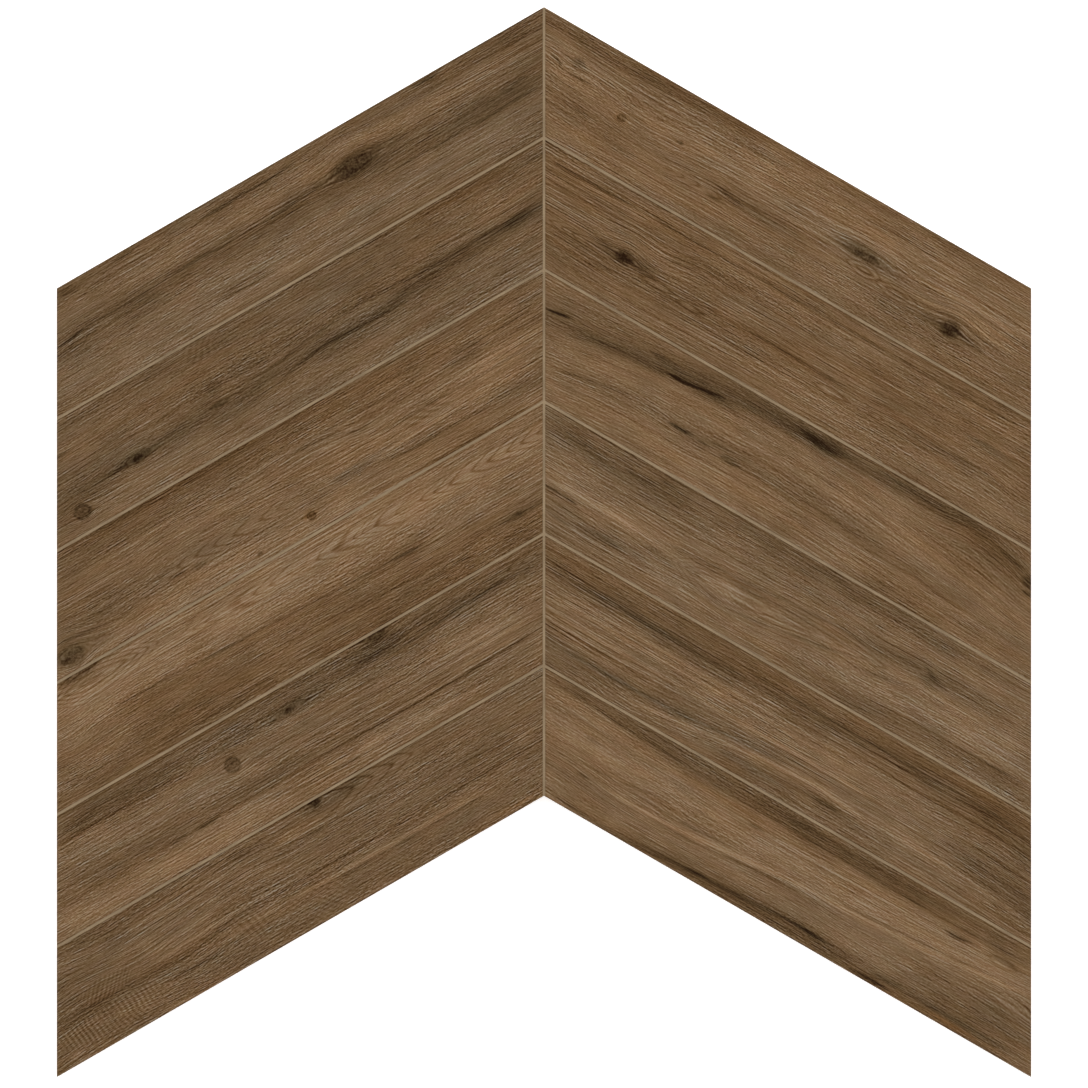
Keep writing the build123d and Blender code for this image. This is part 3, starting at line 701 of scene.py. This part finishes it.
def make_piece(name, seed):
    """One porcelain piece: its face as a grid, and below it the sawn edges and the grooved back."""
    side = -1 if name.startswith("left") else 1
    node = f"tile_{name}"
    piece = PIECES[name]
    top_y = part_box(node)[1].y / MM

    across = spread(ROWS_ACROSS, WIDTH, ARRIS)
    small = [mark for mark in piece.marks if type(mark) in (Knot, Ring)]
    crowd = [(mark.u - mark.v * SLANT, CROWD_REACH * half_size(mark)[0] + 1) for mark in small]
    down = spread(COLUMNS_ALONG, LENGTH, ARRIS * RISE, crowd)
    s, v = np.meshgrid(down, across)
    u = s + v * SLANT
    g, tone, warm, depth, mottle, wave, strengths = figure(piece, u, v, seed)

    edge = np.minimum(np.minimum(v, WIDTH - v), np.minimum(s, LENGTH - s) * cos(ANGLE))
    inside = step((edge - ARRIS) / RELIEF_FADE)
    tone = tone - np.average(tone, weights=np.gradient(down) * (edge > 1)) + piece.shade
    # Painted shade: the upper rim is darkened as if the joint shades it
    tone = tone - RIM_PAINTED_SHADE * bell((v - RIM_V) / RIM_WIDTH)
    slope = np.clip(1 - edge / ARRIS, 0, 1)
    curve = np.sqrt(1 - (0.999 * slope) ** 2)
    z = FACE_Z - ARRIS * (1 - curve * ARRIS_ROUND - (1 - slope) * (1 - ARRIS_ROUND))
    z = z - inside * np.clip(depth, 0, DEEPEST_RELIEF)

    rows, columns = u.shape
    grid = np.arange(rows * columns).reshape(rows, columns)
    points = [place(side, top_y, s, v, z)]
    profile = np.array(back_profile())
    for end in (0.0, LENGTH):
        points.append(place(side, top_y, np.full(len(profile), end), profile[:, 0], profile[:, 1]))
    near = rows * columns + np.arange(len(profile))
    far = near + len(profile)

    quads = np.stack([grid[:-1, :-1], grid[1:, :-1], grid[1:, 1:], grid[:-1, 1:]], axis=-1).reshape(-1, 4)
    faces = quads.tolist()
    top_faces = len(faces)
    faces += [[near[k], near[k + 1], far[k + 1], far[k]][::-1] for k in range(len(profile) - 1)]
    faces.append(list(grid[0]) + [far[0], near[0]])
    faces.append(list(grid[-1][::-1]) + [near[-1], far[-1]])
    faces.append(list(grid[:, 0][::-1]) + list(near))
    faces.append(list(grid[:, -1]) + list(far[::-1]))
    if side < 0:
        faces = [face[::-1] for face in faces]

    mesh = bpy.data.meshes.new(f"porcelain_{name}")
    mesh.from_pydata(np.concatenate(points), [], [[int(i) for i in face] for face in faces])
    smooth = np.arange(len(faces)) < top_faces
    mesh.polygons.foreach_set("use_smooth", smooth)
    mesh.polygons.foreach_set("material_index", (~smooth).astype(np.int32))

    def store(attribute_name, *channels):
        """Keeps one or three values at each point. A channel is those of the face and that of the back."""
        kind, key = ("FLOAT", "value") if len(channels) == 1 else ("FLOAT_VECTOR", "vector")
        back = 2 * len(profile)
        filled = [np.concatenate([values.ravel(), np.full(back, rest)]) for values, rest in channels]
        data = np.stack(filled, axis=-1).astype(np.float32).ravel()
        mesh.attributes.new(attribute_name, kind, "POINT").data.foreach_set(key, data)

    store("grain", (u, 0), (g, 0), (0 * u + GRAIN_SHIFT * seed, 0))
    store("spot", (u, 0), (v, 0), (0 * u + seed, 0))
    store("tone", (tone, piece.shade))
    store("warm", (warm, 0))
    store("mottle", (mottle, 0))
    store("wave", *zip(wave, (0, 0, 0.5)))
    store("strengths", *zip(strengths, (1, 1, 0)))
    mesh.materials.append(face_material)
    mesh.materials.append(body_material)
    mesh.update()

    obj = new_object(mesh.name, mesh)
    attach(obj, "root")
    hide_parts(node)


# Materials. Print lines, partly painted relief shade with a lit and a shaded side: cells to the millimetre
# along and across the grain, and strength in lightness.
FIBRE_LINES = (0.035, 1.3, 7.0)
THREAD_LINES = (0.09, 1.9, 10.5)
DASH_LINES = (0.25, 2.0, 11.5)
TICK_LINES = (0.6, 1.9, 10.5)
LINE_RANGE = 0.22

# Blotches of the print: cells to the millimetre each way, detail, and strength
GRIT = ((1.1, 1.5, 1), 1, 8.0)
WORMS = ((1.0, 1.3, 1), 1, 15.0)
CLOUDS = ((0.12, 0.2, 1), 2, 3.6)
GREEN_CLOUDS = ((0.09, 0.3, 1), 2, 0.024)
BLOTCH_RANGE = (0.3, 0.7)

# Pores: cells to the millimetre, how much of the noise they leave out, and how dark and deep they are
PORES = (0.3, 2.2, 1)
PORE_LEVEL = 0.6
PORE_DARKNESS = 55.0
PORE_DEPTH = 2.0

# How much mottling and even lines hush the fine lines, and how warmth shows in red and blue
MOTTLE_CALM = 0.7
WARM_RED = 0.037
WARM_BLUE = -0.047

# Brown of the print from its darkest knots to its lightest streaks: lightness, then colour, out of 255
BROWNS = [
    (27, (39, 24, 11)),
    (44, (58, 41, 25)),
    (61, (77, 58.3, 36.3)),
    (82, (102, 79.4, 53.7)),
    (95, (115.7, 91.5, 65.8)),
    (110, (131.4, 106.3, 79.6)),
    (140, (162, 138, 111)),
]

# The light on the face, what its sheen adds, and the least that is left of a colour
LIGHT_LEVEL = 1.25
SHEEN_LIGHT = 0.0033
DARKEST = 0.0005

# The face's roughness, sheen and bump, in which fine lines are a little raised
FACE_ROUGHNESS = 0.6
LINE_ROUGHNESS = 0.01
FACE_SPECULAR = 0.04
FACE_BUMP = (0.2, 0.00006)
LINE_HEIGHT = 0.02


def new_material(name):
    material = bpy.data.materials.new(name)
    material.use_nodes = True
    tree = material.node_tree
    tree.nodes.clear()
    shader = tree.nodes.new("ShaderNodeBsdfPrincipled")
    output = tree.nodes.new("ShaderNodeOutputMaterial")
    tree.links.new(shader.outputs["BSDF"], output.inputs["Surface"])
    return material, tree, shader


def connect(tree, node, sockets):
    """Links or sets each named or numbered input of a node."""
    for key, value in sockets.items():
        if isinstance(value, bpy.types.NodeSocket):
            tree.links.new(value, node.inputs[key])
        else:
            node.inputs[key].default_value = value


def add(tree, kind, sockets=None, **settings):
    """A shader node with its settings and inputs."""
    node = tree.nodes.new("ShaderNode" + kind)
    for name, value in settings.items():
        setattr(node, name, value)
    connect(tree, node, sockets or {})
    return node


def calc(tree, operation, a, b=0.0, c=0.0):
    return add(tree, "Math", {0: a, 1: b, 2: c}, operation=operation).outputs[0]


def attribute(tree, name, output="Fac"):
    return add(tree, "Attribute", attribute_name=name).outputs[output]


def channels_of(tree, name):
    """The three values that an attribute holds at each point."""
    return add(tree, "SeparateXYZ", {0: attribute(tree, name, "Vector")}).outputs


def smooth_range(tree, value, low, high, low_to, high_to):
    """A value taken smoothly from one range to another."""
    sockets = {"Value": value, "From Min": low, "From Max": high, "To Min": low_to, "To Max": high_to}
    return add(tree, "MapRange", sockets, interpolation_type="SMOOTHSTEP").outputs["Result"]


def stretched_noise(tree, coordinates, stretch, detail):
    moved = add(tree, "VectorMath", {0: coordinates, 1: stretch}, operation="MULTIPLY").outputs[0]
    sockets = {"Vector": moved, "Scale": 1.0, "Detail": detail, "Roughness": 0.6}
    return add(tree, "TexNoise", sockets).outputs["Fac"]


def blotches(tree, coordinates, stretch, detail, strength):
    """Clear light and dark blotches, from minus strength to strength."""
    noise = stretched_noise(tree, coordinates, stretch, detail)
    return smooth_range(tree, noise, *BLOTCH_RANGE, -strength, strength)


def print_and_shade_lines(tree, coordinates, along, across, strength):
    """Thin light and dark lines along the grain, with no broad patches among them: partly print, partly
    painted relief shade, as one noise minus the same noise moved across the grain.
    """
    aside = add(tree, "VectorMath", {0: coordinates, 1: (0, 0.5 / across, 0)}, operation="ADD").outputs[0]
    near, far = (stretched_noise(tree, at, (along, across, 1), 0) for at in (coordinates, aside))
    between = calc(tree, "SUBTRACT", near, far)
    return smooth_range(tree, between, -LINE_RANGE, LINE_RANGE, -strength, strength)


def linear(value):
    """A colour value out of 255, as light."""
    c = value / 255
    return c / 12.92 if c <= 0.04045 else ((c + 0.055) / 1.055) ** 2.4


def as_light(colour):
    return [linear(c) for c in colour]


def colour_ramp(tree, factor, stops):
    """A colour for each factor, blended between stops of position and colour."""
    ramp = add(tree, "ValToRGB", {0: factor})
    elements = ramp.color_ramp.elements
    while len(elements) < len(stops):
        elements.new(0.5)
    for element, (position, colour) in zip(elements, stops):
        element.position = position
        element.color = list(colour) + [1]
    return ramp.outputs[0]


def finish_shader(tree, shader, colour, roughness, specular, height, bump):
    """Connects a surface. Its bump is a strength and a distance."""
    strength, distance = bump
    normal = add(tree, "Bump", {"Height": height, "Strength": strength, "Distance": distance}).outputs[0]
    sockets = {"Base Color": colour, "Roughness": roughness, "Specular IOR Level": specular, "Normal": normal}
    connect(tree, shader, sockets)


def fine_figure(tree, grain, spot):
    """The fine lines and blotches at each point, in steps of lightness, and the longest lines alone."""
    mottle = attribute(tree, "mottle")
    # Print lines that are partly painted relief shade, with a light and a dark side next to each other
    long_lines = print_and_shade_lines(tree, grain, *FIBRE_LINES)
    threads = print_and_shade_lines(tree, grain, *THREAD_LINES)
    dashes = print_and_shade_lines(tree, grain, *DASH_LINES)
    ticks = print_and_shade_lines(tree, grain, *TICK_LINES)
    grit = blotches(tree, grain, *GRIT)
    worms = blotches(tree, spot, *WORMS)
    strengths = channels_of(tree, "strengths")
    short = calc(tree, "ADD", calc(tree, "ADD", dashes, ticks), grit)
    fine = calc(tree, "MULTIPLY", calc(tree, "ADD", long_lines, threads), strengths[0])
    fine = calc(tree, "MULTIPLY_ADD", short, strengths[1], fine)
    calm = calc(tree, "MULTIPLY_ADD", calc(tree, "ABSOLUTE", mottle), -MOTTLE_CALM, 1.0)
    fine = calc(tree, "MULTIPLY", fine, calm)
    fine = calc(tree, "MULTIPLY_ADD", worms, calc(tree, "MAXIMUM", mottle, 0.0), fine)
    phase, darkness, width = channels_of(tree, "wave")
    away = calc(tree, "PINGPONG", phase, 0.5)
    line = smooth_range(tree, away, 0.0, width, 1.0, 0.0)
    lines = calc(tree, "MULTIPLY", calc(tree, "SUBTRACT", line, width), darkness)
    return calc(tree, "SUBTRACT", fine, lines), long_lines


def make_face_material():
    material, tree, shader = new_material("porcelain_face")
    grain = attribute(tree, "grain", "Vector")
    spot = attribute(tree, "spot", "Vector")
    fine, long_lines = fine_figure(tree, grain, spot)
    pores = stretched_noise(tree, grain, PORES, 1)
    pore = calc(tree, "MAXIMUM", calc(tree, "MULTIPLY_ADD", pores, 1.0, -PORE_LEVEL), 0.0)
    printed = calc(tree, "SUBTRACT", fine, calc(tree, "MULTIPLY", pore, PORE_DARKNESS))
    total = calc(tree, "ADD", attribute(tree, "tone"), printed)
    total = calc(tree, "ADD", total, blotches(tree, spot, *CLOUDS))
    warm = calc(tree, "MULTIPLY_ADD", fine, -LINE_COOLING, attribute(tree, "warm"))
    warm = calc(tree, "MULTIPLY_ADD", calc(tree, "MINIMUM", fine, 0.0), -DARK_LINE_WARMTH, warm)

    low, high = BROWNS[0][0], BROWNS[-1][0]
    factor = calc(tree, "MULTIPLY_ADD", total, 1 / (high - low), -low / (high - low))
    stops = []
    for lightness, colour in BROWNS:
        light = [max(c - SHEEN_LIGHT, DARKEST) / LIGHT_LEVEL for c in as_light(colour)]
        stops.append(((lightness - low) / (high - low), light))
    red = calc(tree, "MULTIPLY_ADD", warm, WARM_RED, 1.0)
    blue = calc(tree, "MULTIPLY_ADD", warm, WARM_BLUE, 1.0)
    green = calc(tree, "ADD", blotches(tree, spot, *GREEN_CLOUDS), 1.0)
    tint = add(tree, "CombineXYZ", {0: red, 1: green, 2: blue}).outputs[0]
    brown = colour_ramp(tree, factor, stops)
    colour = add(tree, "VectorMath", {0: brown, 1: tint}, operation="MULTIPLY").outputs[0]
    roughness = calc(tree, "MULTIPLY_ADD", long_lines, LINE_ROUGHNESS, FACE_ROUGHNESS)
    pressed_in = calc(tree, "MULTIPLY", pore, PORE_DEPTH)
    height = calc(tree, "SUBTRACT", calc(tree, "MULTIPLY", fine, LINE_HEIGHT), pressed_in)
    finish_shader(tree, shader, colour, roughness, FACE_SPECULAR, height, FACE_BUMP)
    return material


def make_plain_material(name, grit, cloud, share, stops, rough, specular, bump):
    """Sand, sawn clay or yarn. Grit and cloud are noises with a scale, detail and roughness."""
    material, tree, shader = new_material(name)
    place_in = add(tree, "TexCoord").outputs["Object"]

    def noise(scale, detail, roughness):
        sockets = {"Vector": place_in, "Scale": scale, "Detail": detail, "Roughness": roughness}
        return add(tree, "TexNoise", sockets).outputs["Fac"]

    fine = mix = noise(*grit)
    if cloud:
        mix = calc(tree, "MULTIPLY_ADD", noise(*cloud), share, calc(tree, "MULTIPLY", fine, 1 - share))
    finish_shader(tree, shader, colour_ramp(tree, mix, stops), rough, specular, fine, bump)
    return material


def net_span_across(x):
    """Lowest and highest y of the net at x."""
    top = SHEET_TOP_Y - abs(x) * SLANT - NET_INSET * RISE
    bottom = SHEET_LOW_Y + (OUTER_X - abs(x)) * SLANT + NET_INSET * RISE
    return bottom, top


def yarn(points, across, phase):
    """Corners and faces of one flat yarn that passes over and under at each crossing."""
    corners, faces = [], []
    half = YARN_WIDTH / 2
    count = len(YARN_SECTION)
    for n, (x, y) in enumerate(points):
        z = YARN_THICKNESS + 0.5 * YARN_THICKNESS * (1 if (n + phase) % 2 else -1)
        for out, up in YARN_SECTION:
            side = half * out
            corners.append((x + side * across[0], y + side * across[1], z + up * YARN_THICKNESS))
    for n in range(len(points) - 1):
        for k in range(count):
            a, b = n * count + k, n * count + (k + 1) % count
            faces.append((a, b, b + count, a + count))
    last = (len(points) - 1) * count
    faces.append(tuple(range(count - 1, -1, -1)))
    faces.append(tuple(range(last, last + count)))
    return corners, faces


def make_net():
    """An open woven net with the outline of the backing."""
    corners, faces = [], []

    def take(points, across, phase):
        if len(points) > 1:
            new_corners, new_faces = yarn(points, across, phase)
            base = len(corners)
            corners.extend(new_corners)
            faces.extend(tuple(base + i for i in face) for face in new_faces)

    half = OUTER_X - NET_INSET
    count = int(half // NET_PITCH)
    for i in range(-count, count + 1):
        x = i * NET_PITCH
        bottom, top = net_span_across(x)
        first = int(np.ceil(bottom / NET_PITCH))
        crossings = [k * NET_PITCH for k in range(first, int(top // NET_PITCH) + 1)]
        take([(x, y) for y in [bottom] + crossings + [top]], (1, 0), (i + first) % 2)
    for k in range(int(SHEET_LOW_Y // NET_PITCH), int(SHEET_TOP_Y // NET_PITCH) + 1):
        y = k * NET_PITCH
        spans, run = [], []
        for i in range(-count, count + 1):
            bottom, top = net_span_across(i * NET_PITCH)
            if bottom < y < top:
                run.append(i)
            elif run:
                spans.append(run)
                run = []
        if run:
            spans.append(run)
        for run in spans:
            take([(i * NET_PITCH, y) for i in run], (0, -1), (run[0] + k + 1) % 2)
    mesh = bpy.data.meshes.new("backing_net")
    mesh.from_pydata(np.array(corners) * MM, [], faces)
    mesh.materials.append(yarn_material)
    mesh.update()
    obj = new_object("backing_net", mesh)
    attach(obj, "root")
    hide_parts("mesh_backing")


face_material = make_face_material()
body_stops = [(0.3, as_light((96, 74, 54))), (0.72, as_light((132, 107, 82)))]
body_material = make_plain_material(
    "porcelain_body", (1400.0, 4.0, 0.65), (60.0, 2.0, 0.5), 0.4, body_stops, 0.8, 0.3, (0.5, 0.00012)
)
yarn_stops = [(0.3, (0.62, 0.62, 0.58)), (0.7, (0.86, 0.86, 0.83))]
yarn_material = make_plain_material(
    "net_yarn", (900.0, 3.0, 0.5), None, 0, yarn_stops, 0.55, 0.5, (0.5, 0.0001)
)
for number, name in enumerate(PIECES):
    make_piece(name, PIECE_SEED * (number + 1))

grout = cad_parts["grout"]
grout_stops = [(0.3, as_light((116, 98, 75))), (0.72, as_light((153, 133, 105)))]
grout.data.materials.clear()
grout_material = make_plain_material(
    "grout_sand", (1800.0, 3.0, 0.7), (90.0, 3.0, 0.5), 0.55, grout_stops, 0.9, 0.2, (0.4, 0.0001)
)
grout.data.materials.append(grout_material)
make_net()

# Floor
floor_mesh = bpy.data.meshes.new("floor")
floor_corners = [(x * FLOOR_REACH, y * FLOOR_REACH, 0) for x, y in ((-1, -1), (1, -1), (1, 1), (-1, 1))]
floor_mesh.from_pydata(floor_corners, [], [(0, 1, 2, 3)])
floor = new_object("floor", floor_mesh)
floor_material, floor_tree, floor_shader = new_material("floor_white")
floor_glow = {"Emission Color": WHITE, "Emission Strength": 0.5}
floor_look = {"Base Color": (0.97, 0.97, 0.97, 1), "Roughness": 0.9, "Specular IOR Level": 0.0}
connect(floor_tree, floor_shader, floor_look | floor_glow)
floor_mesh.materials.append(floor_material)

# Light: a bright even sky and one broad soft lamp above the apex
world = bpy.data.worlds.new("studio")
bpy.context.scene.world = world
world.use_nodes = True
sky = world.node_tree.nodes["Background"]
connect(world.node_tree, sky, {"Color": WHITE, "Strength": 1.0})
lamp_data = bpy.data.lights.new("soft_lamp", "AREA")
lamp_data.shape = "SQUARE"
lamp_data.size = 1.6
lamp_data.energy = 15
lamp = new_object("soft_lamp", lamp_data)
lamp.location = (0, 1.1, 1.9)
lamp.rotation_euler = (radians(-30), 0, 0)

# Camera straight above, with a lens long enough that the sheet shows no perspective
camera_data = bpy.data.cameras.new("camera")
camera_data.sensor_width = SENSOR
field = 2 * OUTER_X * MM * PHOTO_PIXELS / SHEET_PIXELS
camera_data.lens = SENSOR * CAMERA_HEIGHT / field
camera_data.clip_end = 100
camera = new_object("camera", camera_data)
camera.location = (0, VIEW_CENTRE_Y * MM, FACE_Z * MM + CAMERA_HEIGHT)
bpy.context.scene.camera = camera
bpy.context.scene.view_settings.view_transform = "Standard"
